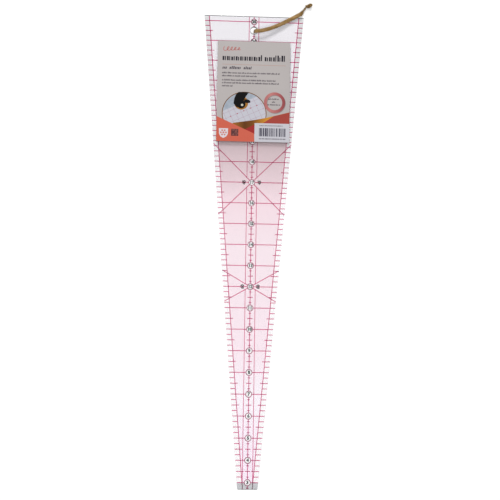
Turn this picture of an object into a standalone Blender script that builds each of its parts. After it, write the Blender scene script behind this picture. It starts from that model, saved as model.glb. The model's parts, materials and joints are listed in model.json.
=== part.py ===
"""A clear acrylic ten-degree wedge ruler for patchwork, with its label card and its hanging tie.

The ruler lies flat: X runs across it, Y along it towards the wide end, Z through its thickness.
The row's origin is under the middle of the blade, on the face that rests on the table.
"""

import math

import bmesh
import bpy
import numpy as np
from mathutils import Matrix, Vector

MM = 0.001
INCH = 0.0254

# The blade. A mark is a distance along the blade as it is numbered, in inches.
WEDGE_ANGLE = math.radians(10)
WIDE_END_WIDTH = 123.7 * MM
NARROW_END_MARK = 2.70
WIDE_END_MARK = 25.25
BLADE_THICKNESS = 3 * MM
CORNER_RADIUS = 1.2 * MM
EDGE_BREAK = 0.2 * MM

# The hole that the ruler hangs from, on the centre line.
HOLE_MARK = 24.54
HOLE_RADIUS = 4.5 * MM
HOLE_SIDES = 64

# The label card, and the two strips of double-sided tape that hold it to the blade.
CARD_WIDTH = 89.5 * MM
CARD_HEIGHT = 127 * MM
CARD_THICKNESS = 0.5 * MM
CARD_MIDDLE = (0.3 * MM, 190 * MM)
TAPE_LENGTH = 64 * MM
TAPE_WIDTH = 12 * MM
TAPE_THICKNESS = 0.5 * MM
TAPE_FROM_MIDDLE = 50 * MM
LAYER_GAP = 0.1 * MM

# The hanging tie: a flat ribbon that ends in a knot.
RIBBON_WIDTH = 4.0 * MM
RIBBON_THICKNESS = 0.3 * MM
RIBBON_STATIONS = 72
UPRIGHT_SHARE = 0.2
KNOT_SIZE = (8.6 * MM, 5.0 * MM, 4.2 * MM)
KNOT_MIDDLE = (68.3, 34.2, 2.4)
KNOT_TURN = math.radians(14)

# The ribbon's middle line: x and y from the middle of the hole, z from the table, all in
# millimetres, and how far the ribbon is turned on edge, in degrees. It stands up in the hole,
# arches over the face, lies on the wide end and turns on edge before the knot.
RIBBON_ROUTE = (
    (-0.30, -2.28, 0.8, 0),
    (-0.30, -2.28, 3.2, 0),
    (0.05, -2.30, 5.3, 0),
    (1.70, -2.35, 6.9, 0),
    (4.90, -2.20, 7.3, 0),
    (9.60, -1.50, 7.1, 0),
    (19.5, 1.75, 6.2, 0),
    (32.0, 7.80, 4.7, 0),
    (44.5, 14.9, 3.75, 0),
    (52.0, 19.2, 3.6, 0),
    (57.6, 22.5, 3.5, 4),
    (59.8, 24.7, 3.2, 45),
    (61.6, 27.5, 2.8, 84),
    (63.2, 30.0, 2.5, 90),
    (64.6, 32.2, 2.4, 90),
)


def mark_y(mark):
    """The Y of a mark, measured from the middle of the blade's length."""
    return (mark - (NARROW_END_MARK + WIDE_END_MARK) / 2) * INCH


def half_width(mark):
    """Half the blade's width at a mark."""
    return WIDE_END_WIDTH / 2 - (WIDE_END_MARK - mark) * INCH * math.tan(WEDGE_ANGLE / 2)


HOLE_MIDDLE = Vector((0, mark_y(HOLE_MARK), 0))


def clear_scene():
    for item in list(bpy.data.objects):
        bpy.data.objects.remove(item, do_unlink=True)


def make_material(name, colour, roughness, transmission=0.0):
    material = bpy.data.materials.new(name)
    material.use_nodes = True
    shader = material.node_tree.nodes["Principled BSDF"]
    shader.inputs["Base Color"].default_value = (*colour, 1)
    shader.inputs["Roughness"].default_value = roughness
    shader.inputs["Metallic"].default_value = 0
    shader.inputs["Transmission Weight"].default_value = transmission
    return material


def make_object(name, bm, material):
    """Turns a bmesh into a named object with one material."""
    bmesh.ops.recalc_face_normals(bm, faces=bm.faces)
    mesh = bpy.data.meshes.new(name)
    bm.to_mesh(mesh)
    bm.free()
    mesh.materials.append(material)
    item = bpy.data.objects.new(name, mesh)
    bpy.context.collection.objects.link(item)
    return item


def shade_round(item):
    item.data.shade_smooth()
    item.data.set_sharp_from_angle(angle=math.radians(35))


def make_slab(name, length, width, thickness, middle, material):
    """A flat rectangular sheet lying level, with its middle at a point."""
    bm = bmesh.new()
    bmesh.ops.create_cube(bm, size=1, matrix=Matrix.Diagonal((length, width, thickness, 1)))
    item = make_object(name, bm, material)
    item.location = middle


def make_hole_cutter():
    bm = bmesh.new()
    bmesh.ops.create_cone(
        bm,
        cap_ends=True,
        segments=HOLE_SIDES,
        radius1=HOLE_RADIUS,
        radius2=HOLE_RADIUS,
        depth=3 * BLADE_THICKNESS,
    )
    mesh = bpy.data.meshes.new("hole_cutter")
    bm.to_mesh(mesh)
    bm.free()
    cutter = bpy.data.objects.new("hole_cutter", mesh)
    bpy.context.collection.objects.link(cutter)
    cutter.location = HOLE_MIDDLE + Vector((0, 0, BLADE_THICKNESS / 2))
    cutter.hide_render = True
    cutter.display_type = "WIRE"
    return cutter


def make_blade(material):
    """The wedge-shaped sheet, with rounded corners, the hanging hole and broken edges."""
    bm = bmesh.new()
    narrow, wide = half_width(NARROW_END_MARK), half_width(WIDE_END_MARK)
    low, high = mark_y(NARROW_END_MARK), mark_y(WIDE_END_MARK)
    corners = ((-narrow, low), (narrow, low), (wide, high), (-wide, high))
    outline = bm.faces.new([bm.verts.new((x, y, 0)) for x, y in corners])
    raised = bmesh.ops.extrude_face_region(bm, geom=[outline])["geom"]
    top = [v for v in raised if isinstance(v, bmesh.types.BMVert)]
    bmesh.ops.translate(bm, verts=top, vec=(0, 0, BLADE_THICKNESS))
    upright = [e for e in bm.edges if abs(e.verts[0].co.z - e.verts[1].co.z) > EDGE_BREAK]
    bmesh.ops.bevel(
        bm,
        geom=upright,
        offset=CORNER_RADIUS,
        affect="EDGES",
        segments=5,
        profile=0.5,
        material=-1,
    )
    blade = make_object("acrylic_blade", bm, material)
    hole = blade.modifiers.new("hanging_hole", "BOOLEAN")
    hole.operation = "DIFFERENCE"
    hole.solver = "EXACT"
    hole.object = make_hole_cutter()
    edges = blade.modifiers.new("broken_edges", "BEVEL")
    edges.width = EDGE_BREAK
    edges.segments = 2
    edges.limit_method = "ANGLE"
    edges.angle_limit = math.radians(60)
    return blade


def make_card_and_tapes(card_material, tape_material):
    """The label card on its two strips of tape, a hair's breadth above the blade and each other."""
    tape_z = BLADE_THICKNESS + LAYER_GAP + TAPE_THICKNESS / 2
    card_z = tape_z + TAPE_THICKNESS / 2 + LAYER_GAP + CARD_THICKNESS / 2
    x, y = CARD_MIDDLE
    make_slab("label_card", CARD_WIDTH, CARD_HEIGHT, CARD_THICKNESS, (x, y, card_z), card_material)
    for name, offset in (
        ("card_tape_upper", TAPE_FROM_MIDDLE),
        ("card_tape_lower", -TAPE_FROM_MIDDLE),
    ):
        make_slab(
            name, TAPE_LENGTH, TAPE_WIDTH, TAPE_THICKNESS, (x, y + offset, tape_z), tape_material
        )


def smooth_route(route, count):
    """Points along a smooth curve through the route's points, evenly spread over their index."""
    points = np.array(route, float)
    padded = np.vstack([2 * points[0] - points[1], points, 2 * points[-1] - points[-2]])
    found = []
    for at in np.linspace(0, len(points) - 1, count):
        i = min(int(at), len(points) - 2)
        t = at - i
        a, b, c, d = padded[i : i + 4]
        found.append(
            0.5 * (2 * b + (c - a) * t + (2 * a - 5 * b + 4 * c - d) * t**2
                   + (3 * b - a - 3 * c + d) * t**3)
        )
    return np.array(found)


def ribbon_frames():
    """The ribbon's cross-section at each station: across it, through it and along it.

    Where the ribbon stands upright it keeps its last heading, because it has no level one.
    """
    stations = smooth_route(RIBBON_ROUTE, RIBBON_STATIONS)
    middles = stations[:, :3] * MM + np.array(HOLE_MIDDLE)
    along = np.gradient(middles, axis=0)
    heading = Vector((1, 0, 0))
    frames = []
    for middle, step, turn in zip(middles, along, np.radians(stations[:, 3]), strict=True):
        forward = Vector(step).normalized()
        level = Vector((forward.x, forward.y, 0))
        if level.length > UPRIGHT_SHARE:
            heading = level.normalized()
        across = Vector((0, 0, 1)).cross(heading)
        across.rotate(Matrix.Rotation(turn, 3, forward))
        through = forward.cross(across).normalized()
        across = through.cross(forward)
        frame = Matrix((across, through, forward)).transposed().to_4x4()
        frame.translation = Vector(middle)
        frames.append(frame)
    return frames


def make_ribbon(material):
    """The ribbon, swept by extruding its end face from one station to the next."""
    frames = ribbon_frames()
    bm = bmesh.new()
    section = Matrix.Diagonal((RIBBON_WIDTH, RIBBON_THICKNESS, 1, 1))
    bmesh.ops.create_grid(bm, x_segments=1, y_segments=1, size=0.5, matrix=frames[0] @ section)
    end = next(iter(bm.faces))
    for before, after in zip(frames, frames[1:], strict=False):
        made = bmesh.ops.extrude_face_region(bm, geom=[end, *end.edges])["geom"]
        end = next(f for f in made if isinstance(f, bmesh.types.BMFace))
        moved = [v for v in made if isinstance(v, bmesh.types.BMVert)]
        bmesh.ops.transform(bm, matrix=after @ before.inverted(), verts=moved)
    return make_object("tie_ribbon", bm, material)


def make_knot(material):
    """The lump where the ribbon is tied."""
    bm = bmesh.new()
    place = Matrix.Translation(Vector(KNOT_MIDDLE) * MM + HOLE_MIDDLE)
    turn = Matrix.Rotation(KNOT_TURN, 4, "Z")
    bmesh.ops.create_icosphere(
        bm, subdivisions=3, radius=0.5, matrix=place @ turn @ Matrix.Diagonal((*KNOT_SIZE, 1))
    )
    knot = make_object("tie_knot", bm, material)
    shade_round(knot)
    return knot


def hang_on_pivot(items):
    """Parents the tie's pieces to an empty on the hole's axis, which is what they swing about."""
    pivot = bpy.data.objects.new("tie_pivot", None)
    pivot.location = HOLE_MIDDLE
    bpy.context.collection.objects.link(pivot)
    for item in items:
        item.parent = pivot
        item.matrix_parent_inverse = Matrix.Translation(-HOLE_MIDDLE)


def main():
    clear_scene()
    acrylic = make_material("clear_acrylic", (0.96, 0.93, 0.95), 0.05, transmission=0.9)
    board = make_material("printed_board", (0.47, 0.44, 0.43), 0.6)
    tape = make_material("clear_tape", (0.85, 0.86, 0.85), 0.4, transmission=0.6)
    gold = make_material("gold_ribbon", (0.24, 0.15, 0.07), 0.45)
    make_blade(acrylic)
    make_card_and_tapes(board, tape)
    hang_on_pivot([make_ribbon(gold), make_knot(gold)])


main()
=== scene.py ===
# %% [markdown]
# # A clear acrylic wedge ruler for patchwork
#
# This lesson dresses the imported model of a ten-degree wedge ruler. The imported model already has
# every piece at its true size and place: the blade, the label card, its two tapes, and the ribbon
# tie with its knot. It loads here as a fixed frame, and each piece below is built round it.
# Lengths are in metres. X runs across the ruler, Y along it towards the wide end, and Z up.

import json
import math
import random

import bmesh
import bpy
import numpy as np
from mathutils import Euler, Matrix, Vector


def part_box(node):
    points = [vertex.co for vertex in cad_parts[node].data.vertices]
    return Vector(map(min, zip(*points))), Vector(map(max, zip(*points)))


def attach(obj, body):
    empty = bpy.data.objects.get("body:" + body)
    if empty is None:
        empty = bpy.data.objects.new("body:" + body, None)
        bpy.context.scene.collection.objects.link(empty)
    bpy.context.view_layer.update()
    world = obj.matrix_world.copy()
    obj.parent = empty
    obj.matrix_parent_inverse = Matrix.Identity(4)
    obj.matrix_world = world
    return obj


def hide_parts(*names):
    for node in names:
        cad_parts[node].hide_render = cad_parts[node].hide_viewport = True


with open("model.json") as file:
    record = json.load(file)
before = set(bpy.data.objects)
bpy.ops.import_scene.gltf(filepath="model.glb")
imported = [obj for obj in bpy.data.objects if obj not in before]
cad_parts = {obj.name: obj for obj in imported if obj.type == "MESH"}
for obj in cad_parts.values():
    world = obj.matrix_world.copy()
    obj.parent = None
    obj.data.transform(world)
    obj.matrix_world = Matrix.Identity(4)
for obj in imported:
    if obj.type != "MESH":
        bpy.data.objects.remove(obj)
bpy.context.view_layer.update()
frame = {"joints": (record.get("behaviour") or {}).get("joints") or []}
scene = bpy.context.scene
MM = 0.001
INCH = 0.0254

# %% [markdown]
# ## The camera
#
# The ruler is seen from almost straight above, with the camera a little nearer to the narrow end
# and turned by less than a degree. A camera looks down its own -Z, so it is placed by turning it
# first and then backing away from the point it looks at. The lens is a mild 57.6 mm, so that the
# two ends of the long blade keep their natural difference in scale.

# %% Set up the camera
LOOK_AT = Vector((-0.0009, -0.0058, 0))
CAMERA_DISTANCE = 0.9642
CAMERA_TURN = Euler([math.radians(angle) for angle in (6.561, -2.45, 0.848)])
camera_data = bpy.data.cameras.new("camera")
camera_data.lens = 57.6
camera = bpy.data.objects.new("camera", camera_data)
scene.collection.objects.link(camera)
camera.rotation_euler = CAMERA_TURN
camera.location = LOOK_AT + CAMERA_TURN.to_matrix() @ Vector((0, 0, CAMERA_DISTANCE))
scene.camera = camera
print("camera at", [round(number, 4) for number in camera.location])

# %% [markdown]
# ## Helpers for every piece
#
# Each piece is modelled in a bmesh, Blender's editable mesh. One helper turns a finished bmesh
# into an object at the origin, points its faces outwards and says whether it is closed, because
# glass and thin prints only render properly on closed shapes. The others start a material and add
# to it, so that each material below reads as a short list of what it is made from.

# %% Make helpers for meshes and materials


def finish_mesh(name, bm, materials, sharp_angle=35):
    """Turns a bmesh into an object at the origin, with its faces pointing outwards."""
    bmesh.ops.recalc_face_normals(bm, faces=bm.faces[:])
    open_edges = sum(not edge.is_manifold for edge in bm.edges)
    mesh = bpy.data.meshes.new(name)
    bm.to_mesh(mesh)
    bm.free()
    for material in materials:
        mesh.materials.append(material)
    mesh.shade_smooth()
    mesh.set_sharp_from_angle(angle=math.radians(sharp_angle))
    piece = bpy.data.objects.new(name, mesh)
    scene.collection.objects.link(piece)
    print(f"{name}: {len(mesh.polygons)} faces, {open_edges} open edges")
    return piece


def paint(red, green, blue):
    """A colour as a paint chart gives it, from 0 to 255, as the linear light that shaders use."""
    shares = [value / 255 for value in (red, green, blue)]
    linear = [s / 12.92 if s <= 0.04045 else ((s + 0.055) / 1.055) ** 2.4 for s in shares]
    return (*linear, 1)


def start_material(name, roughness, metallic=0.0):
    """A new material, its node tree and its Principled shader."""
    material = bpy.data.materials.new(name)
    material.use_nodes = True
    shader = material.node_tree.nodes["Principled BSDF"]
    shader.inputs["Roughness"].default_value = roughness
    shader.inputs["Metallic"].default_value = metallic
    return material, material.node_tree, shader


def add_node(tree, kind, **inputs):
    """Adds a node and sets its inputs. An output socket given as an input is linked to it."""
    made = tree.nodes.new(kind)
    for name, value in inputs.items():
        socket = made.inputs[name.replace("_", " ")]
        if isinstance(value, bpy.types.NodeSocket):
            tree.links.new(value, socket)
        else:
            socket.default_value = value
    return made


def work_out(tree, operation, *values):
    """The result of a sum on outputs and numbers."""
    node = tree.nodes.new("ShaderNodeMath")
    node.operation = operation
    for socket, value in zip(node.inputs, values, strict=False):
        if isinstance(value, bpy.types.NodeSocket):
            tree.links.new(value, socket)
        else:
            socket.default_value = value
    return node.outputs["Value"]


def rescale(tree, value, low, high, new_low=0.0, new_high=1.0):
    """Maps the range low to high of a value to a new one, and holds it inside that."""
    node = add_node(tree, "ShaderNodeMapRange", Value=value)
    for name, limit in (
        ("From Min", low), ("From Max", high), ("To Min", new_low), ("To Max", new_high)
    ):
        node.inputs[name].default_value = limit
    return node.outputs["Result"]


def speckle(tree, coords, scale, detail=3):
    """A soft noise that stays with the piece. A larger scale gives finer spots."""
    noise = add_node(
        tree, "ShaderNodeTexNoise", Vector=coords.outputs["Object"], Scale=scale, Detail=detail
    )
    return noise.outputs["Fac"]


def colour_ramp(tree, factor, stops):
    """A colour that runs through stops. Each is a share from 0 to 1, and its colour."""
    ramp = add_node(tree, "ShaderNodeValToRGB", Fac=factor)
    elements = ramp.color_ramp.elements
    while len(elements) < len(stops):
        elements.new(0)
    for element, (place, colour) in zip(elements, stops, strict=True):
        element.position = place
        element.color = colour
    return ramp.outputs["Color"]


def blend_colours(tree, factor, first, second):
    """The output of a node that runs from one colour to another as a factor goes from 0 to 1."""
    mix = tree.nodes.new("ShaderNodeMix")
    mix.data_type = "RGBA"
    tree.links.new(factor, mix.inputs["Factor"])
    for socket, colour in ((mix.inputs[6], first), (mix.inputs[7], second)):
        if isinstance(colour, bpy.types.NodeSocket):
            tree.links.new(colour, socket)
        else:
            socket.default_value = colour
    return mix.outputs[2]


def add_bump(tree, shader, height, strength, distance):
    """Makes a shader's surface uneven by a height, without changing the mesh."""
    bump = add_node(tree, "ShaderNodeBump", Strength=strength, Distance=distance, Height=height)
    tree.links.new(bump.outputs["Normal"], shader.inputs["Normal"])


# %% [markdown]
# ## The ribbon tie
#
# A short gold ribbon comes out of the hanging hole, arches over the face, lies on the wide end
# and ends in a knot just past it. It is a real length of something limp, so its route comes
# first: a few listed points, with a smooth curve through them. A round curve object
# would make a cord. A ribbon is flat and turns on edge near its end, so here a flat grid is laid
# along the route instead, one row of the grid to each station, and then given its thickness.

# %% Lay out the ribbon's route
RIBBON_WIDTH = 4.0 * MM
RIBBON_THICKNESS = 0.3 * MM
UPRIGHT_SHARE = 0.2
hole_middle = Vector(frame["joints"][0]["pos_m"])
hole_middle.z = 0

# From the middle of the hole: x, y, the height above the table, and the turn on edge in degrees.
RIBBON_ROUTE = (
    (-0.00030, -0.00228, 0.0008, 0),
    (-0.00030, -0.00228, 0.0032, 0),
    (0.00005, -0.00230, 0.0053, 0),
    (0.00170, -0.00235, 0.0069, 0),
    (0.00490, -0.00220, 0.0073, 0),
    (0.00960, -0.00150, 0.0071, 0),
    (0.0195, 0.00175, 0.0062, 0),
    (0.0320, 0.00780, 0.0047, 0),
    (0.0445, 0.0149, 0.00375, 0),
    (0.0520, 0.0192, 0.0036, 0),
    (0.0576, 0.0225, 0.0035, 4),
    (0.0598, 0.0247, 0.0032, 42),
    (0.0616, 0.0275, 0.0028, 66),
    (0.0632, 0.0300, 0.0025, 68),
    (0.0646, 0.0322, 0.0024, 68),
    (0.0662, 0.0336, 0.0023, 68),
)


def smooth_route(route, count):
    """Points along a smooth curve through the route's points, evenly spread over their index."""
    points = np.array(route, float)
    padded = np.vstack([2 * points[0] - points[1], points, 2 * points[-1] - points[-2]])
    found = []
    for at in np.linspace(0, len(points) - 1, count):
        i = min(int(at), len(points) - 2)
        t = at - i
        a, b, c, d = padded[i : i + 4]
        cubic = (2 * a - 5 * b + 4 * c - d) * t**2 + (3 * b - a - 3 * c + d) * t**3
        found.append(0.5 * (2 * b + (c - a) * t + cubic))
    return np.array(found)


def ribbon_frames(count):
    """The ribbon's place at each station, as a matrix: X across it, Y through it, Z along it."""
    stations = smooth_route(RIBBON_ROUTE, count)
    middles = stations[:, :3] + np.array(hole_middle)
    steps = np.gradient(middles, axis=0)
    heading = Vector((1, 0, 0))
    frames = []
    for middle, step, turn in zip(middles, steps, np.radians(stations[:, 3]), strict=True):
        forward = Vector(step).normalized()
        level = Vector((forward.x, forward.y, 0))
        if level.length > UPRIGHT_SHARE:
            heading = level.normalized()
        across = Vector((0, 0, 1)).cross(heading)
        across.rotate(Matrix.Rotation(turn, 3, forward))
        through = forward.cross(across).normalized()
        place = Matrix((through.cross(forward), through, forward)).transposed().to_4x4()
        place.translation = Vector(middle)
        frames.append(place)
    return frames


RIBBON_ROWS = 240
ribbon_places = ribbon_frames(RIBBON_ROWS + 1)
ribbon_path = [place.translation.copy() for place in ribbon_places]
ribbon_length = sum((b - a).length for a, b in zip(ribbon_path, ribbon_path[1:], strict=False))
print(f"the ribbon is {ribbon_length / MM:.1f} mm long")

# %% [markdown]
# ## The gold ribbon's finish
#
# The ribbon is woven from gold and bronze metallic threads. Its colour has painted shade in the
# hollows of the weave and a painted highlight along its ribs. Its weave follows the ribbon round
# every bend, so the pattern is read from the ribbon's own UV map, which runs across it in U and
# along it in V, and not from its place in the room. Two wave patterns at right angles make the
# threads, and a slow noise makes the tarnish.

# %% Make the gold ribbon material
THREADS_ACROSS = 9
THREADS_ALONG = 150


def gold_ribbon_material():
    material, tree, shader = start_material("gold_ribbon", 0.45, metallic=0.4)
    coords = add_node(tree, "ShaderNodeTexCoord")
    weave = []
    for direction, threads in (("X", THREADS_ACROSS), ("Y", THREADS_ALONG)):
        wave = add_node(tree, "ShaderNodeTexWave", Vector=coords.outputs["UV"])
        wave.bands_direction = direction
        # A wave at a scale of 1 repeats every pi / 10 of the pattern's length.
        wave.inputs["Scale"].default_value = threads * math.pi / 10
        wave.inputs["Distortion"].default_value = 0.3
        weave.append(wave.outputs["Fac"])
    threads = work_out(tree, "MULTIPLY", *weave)
    tarnish = speckle(tree, coords, 420)
    dull = blend_colours(tree, tarnish, paint(78, 57, 28), paint(142, 110, 62))
    # Painted highlight on the ribs and painted shade in the hollows of the weave, over the tarnish.
    colour = blend_colours(tree, threads, dull, paint(184, 148, 92))
    tree.links.new(colour, shader.inputs["Base Color"])
    add_bump(tree, shader, threads, 0.5, 0.06 * MM)
    return material


gold_ribbon = gold_ribbon_material()
print("threads across and along:", THREADS_ACROSS, THREADS_ALONG)

# %% [markdown]
# ## The ribbon itself
#
# The flat grid already has its rows and its UV map. Each of its points is moved to its place
# along the route. A real ribbon is never quite flat: its middle is cupped, its edges ripple and
# it has small creases, so each point also gets a little height of its own. It is pinched in the
# hole, spreads outside it, and is gathered where it goes into the knot. The solidify operator
# then gives the sheet its thickness, which closes it all round.

# %% Make the ribbon
RIBBON_COLUMNS = 12
CUP = 0.16 * MM
RIPPLE = 0.10 * MM
RIPPLE_LENGTH = 4.6 * MM
CREASE_LENGTH = 11 * MM
SPREAD = 0.2
SPREAD_START = 6 * MM
SPREAD_LENGTH = 9 * MM
GATHER = 0.5
GATHER_LENGTH = 8 * MM


def ribbon_height(across, along):
    """How far the ribbon stands off its flat line, for a place across and along it."""
    cupped = CUP * (1 - (2 * across) ** 2)
    rippled = RIPPLE * math.sin(along / RIPPLE_LENGTH * math.tau + 3 * across) * abs(2 * across)
    creased = RIPPLE * math.sin(along / CREASE_LENGTH * math.tau + 5 * across)
    return cupped + rippled + creased


def make_ribbon():
    bm = bmesh.new()
    bm.loops.layers.uv.new("weave")
    bmesh.ops.create_grid(
        bm, x_segments=RIBBON_COLUMNS, y_segments=RIBBON_ROWS, size=0.5, calc_uvs=True
    )
    for vert in bm.verts:
        row = round((vert.co.y + 0.5) * RIBBON_ROWS)
        across = vert.co.x
        along = ribbon_length * row / RIBBON_ROWS
        out_of_hole = min(1, max(0, (along - SPREAD_START) / SPREAD_LENGTH))
        into_knot = max(0, 1 - (ribbon_length - along) / GATHER_LENGTH)
        width = RIBBON_WIDTH * (1 + SPREAD * out_of_hole) * (1 - GATHER * into_knot)
        vert.co = ribbon_places[row] @ Vector((across * width, ribbon_height(across, along), 0))
    bmesh.ops.solidify(bm, geom=bm.faces[:], thickness=RIBBON_THICKNESS)
    return finish_mesh("hanging_ribbon", bm, [gold_ribbon])


hanging_ribbon = make_ribbon()

# %% [markdown]
# ## The knot
#
# The ribbon's end is tied in a small overhand knot, pulled tight. Seen from outside, such a knot
# is three lobes that pass over and under each other, which is the shape of a trefoil. A ring of
# points is extruded from station to station round a trefoil, bridged to where it started,
# squeezed to a given size and set at the middle that the frame gives the knot. The ribbon's UV
# directions are written on the new faces, so that the threads run along the strand.

# %% Make the knot
KNOT_TURN = math.radians(14)
KNOT_SIZE = Vector((9.6, 4.8, 4.2)) * MM
STRAND_RADIUS = 0.47
STRAND_FLATNESS = 0.7
STRAND_SIDES = 16
KNOT_STATIONS = 132
STRAND_REPEATS = 5
knot_low, knot_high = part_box("tie_knot")
knot_middle = (knot_low + knot_high) / 2


def trefoil_place(station):
    """The strand's place at a station round a trefoil, as a matrix with Z along the strand."""

    def point(angle):
        x = math.sin(angle) + 2 * math.sin(2 * angle)
        y = math.cos(angle) - 2 * math.cos(2 * angle)
        return Vector((x, y, -1.4 * math.sin(3 * angle))) / 3

    angle = math.tau * station / KNOT_STATIONS
    ahead = (point(angle + 0.01) - point(angle - 0.01)).normalized()
    outward = Vector((0, 0, 1)).cross(ahead).normalized()
    place = Matrix((outward, ahead.cross(outward), ahead)).transposed().to_4x4()
    place.translation = point(angle)
    return place


def write_strand_uvs(bm, marks):
    """Gives each face corner its place round the strand and along it, which wrap at the seams."""
    uvs = bm.loops.layers.uv.new("weave")
    for face in bm.faces:
        sides = [marks[vert][0] for vert in face.verts]
        stations = [marks[vert][1] for vert in face.verts]
        for loop in face.loops:
            side, station = marks[loop.vert]
            side += STRAND_SIDES * (max(sides) - side > STRAND_SIDES / 2)
            station += KNOT_STATIONS * (max(stations) - station > KNOT_STATIONS / 2)
            loop[uvs].uv = (side / STRAND_SIDES, STRAND_REPEATS * station / KNOT_STATIONS / 10)


def make_knot():
    bm = bmesh.new()
    places = [trefoil_place(station) for station in range(KNOT_STATIONS)]
    section = Matrix.Diagonal((1, STRAND_FLATNESS, 1, 1))
    ring = bmesh.ops.create_circle(
        bm, segments=STRAND_SIDES, radius=STRAND_RADIUS, matrix=places[0] @ section
    )["verts"]
    marks = {vert: (side, 0) for side, vert in enumerate(ring)}
    first = end = bm.edges[:]
    for station in range(1, KNOT_STATIONS):
        made = bmesh.ops.extrude_edge_only(bm, edges=end)["geom"]
        end = [item for item in made if isinstance(item, bmesh.types.BMEdge)]
        ring = [item for item in made if isinstance(item, bmesh.types.BMVert)]
        move = places[station] @ places[station - 1].inverted()
        bmesh.ops.transform(bm, matrix=move, verts=ring)
        marks.update({vert: (side, station) for side, vert in enumerate(ring)})
    end = [edge for edge in end if all(marks[v][1] == KNOT_STATIONS - 1 for v in edge.verts)]
    bmesh.ops.bridge_loops(bm, edges=first + end)
    write_strand_uvs(bm, marks)
    size = Vector(np.ptp([vert.co for vert in bm.verts], axis=0))
    squeeze = Matrix.Diagonal([KNOT_SIZE[i] / size[i] for i in range(3)]).to_4x4()
    place = Matrix.Translation(knot_middle) @ Matrix.Rotation(KNOT_TURN, 4, "Z") @ squeeze
    bmesh.ops.transform(bm, matrix=place, verts=bm.verts)
    return finish_mesh("ribbon_knot", bm, [gold_ribbon], sharp_angle=60)


ribbon_knot = make_knot()

# %% [markdown]
# ## How the ruler is measured out
#
# Every line on the ruler sits at a mark: a distance along the blade in inches, as the blade is
# numbered. Two small functions turn a mark into a place along the blade and into the blade's half
# width there, so that nothing below needs a coordinate of its own.

# %% Measure out the ruler
WIDE_END_MARK = 25.25
WIDE_END_WIDTH = 123.7 * MM
EDGE_LEAN = math.tan(math.radians(5))
blade_low, blade_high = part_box("acrylic_blade")
NARROW_END_MARK = WIDE_END_MARK - (blade_high.y - blade_low.y) / INCH


def mark_y(mark):
    """The Y of a mark."""
    return blade_high.y - (WIDE_END_MARK - mark) * INCH


def half_width(mark):
    """Half the blade's width at a mark."""
    return WIDE_END_WIDTH / 2 - (WIDE_END_MARK - mark) * INCH * EDGE_LEAN


print(f"marks {NARROW_END_MARK:.2f} to {WIDE_END_MARK}")

# %% [markdown]
# ## Clear acrylic
#
# The blade is cast acrylic with polished faces: it bends light by an index of 1.49, mirrors a
# little, and is full of hairline scratches from the cutting table. Between the seam lines it has
# a sheer rosy tint that is gone at the wide end, darkened towards the card by painted shade. The
# insides of the number rings are clear, the margins are clear but greyed towards the card by
# painted shade, and the narrow end has a grey band of painted shade. All of these follow the
# ruler's marks, so the sheet's colour is worked out from Object X and Y. The two ends and the hole
# are left as the saw and the drill made them and scatter light, and their dark grey is painted
# shade. A solid sheet of glass blocks a renderer's lamps, so for the lamps alone both finishes are
# made transparent, and light reaches what lies under the sheet.

# %% Make the clear acrylic material
SEAM = 6 * MM
RING_RADIUS = 4.0 * MM
# The sheet's rosy tint at each mark. The grey that deepens up to mark 19.6, by the card, is painted
# shade.
TINT_AND_PAINTED_SHADE = (
    (4, paint(254, 242, 253)),
    (7, paint(255, 250, 255)),
    (9, paint(253, 237, 244)),
    (14, paint(249, 234, 239)),
    (16, paint(246, 225, 231)),
    (19.6, paint(189, 171, 173)),
    (22.5, paint(248, 247, 250)),
)
# The margins grey towards the card: painted shade.
MARGIN_PAINTED_SHADE = ((16, paint(255, 255, 255)), (19, paint(230, 231, 231)))
END_BAND_MARK = 3
# Below mark 3 the sheet is greyed by painted shade, for the dark that the narrow end shows.
END_PAINTED_SHADE = paint(202, 204, 206)
TINT_EDGE = 0.2 * MM


def colours_by_mark(tree, along, stops):
    """A colour that runs through the given marks of the ruler."""
    reach = rescale(tree, along, mark_y(NARROW_END_MARK), mark_y(WIDE_END_MARK))
    length = WIDE_END_MARK - NARROW_END_MARK
    return colour_ramp(
        tree, reach, [((mark - NARROW_END_MARK) / length, colour) for mark, colour in stops]
    )


def inside_seams(tree, split):
    """1 between the two seam lines and 0 in the margins outside them, from Object X and Y."""
    half = rescale(
        tree,
        split.outputs["Y"],
        mark_y(NARROW_END_MARK),
        mark_y(WIDE_END_MARK),
        half_width(NARROW_END_MARK) - SEAM,
        half_width(WIDE_END_MARK) - SEAM,
    )
    room = work_out(tree, "SUBTRACT", half, work_out(tree, "ABSOLUTE", split.outputs["X"]))
    return rescale(tree, room, -TINT_EDGE, TINT_EDGE)


def outside_rings(tree, split):
    """0 inside the ring at each inch mark and 1 outside it."""
    first = mark_y(END_BAND_MARK)
    wrapped = work_out(tree, "WRAP", split.outputs["Y"], first + INCH / 2, first - INCH / 2)
    place = add_node(tree, "ShaderNodeCombineXYZ", X=split.outputs["X"], Y=wrapped)
    distance = tree.nodes.new("ShaderNodeVectorMath")
    distance.operation = "DISTANCE"
    tree.links.new(place.outputs["Vector"], distance.inputs[0])
    distance.inputs[1].default_value = (0, first, 0)
    return rescale(
        tree, distance.outputs["Value"], RING_RADIUS - 0.5 * MM, RING_RADIUS - 0.2 * MM
    )


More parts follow.
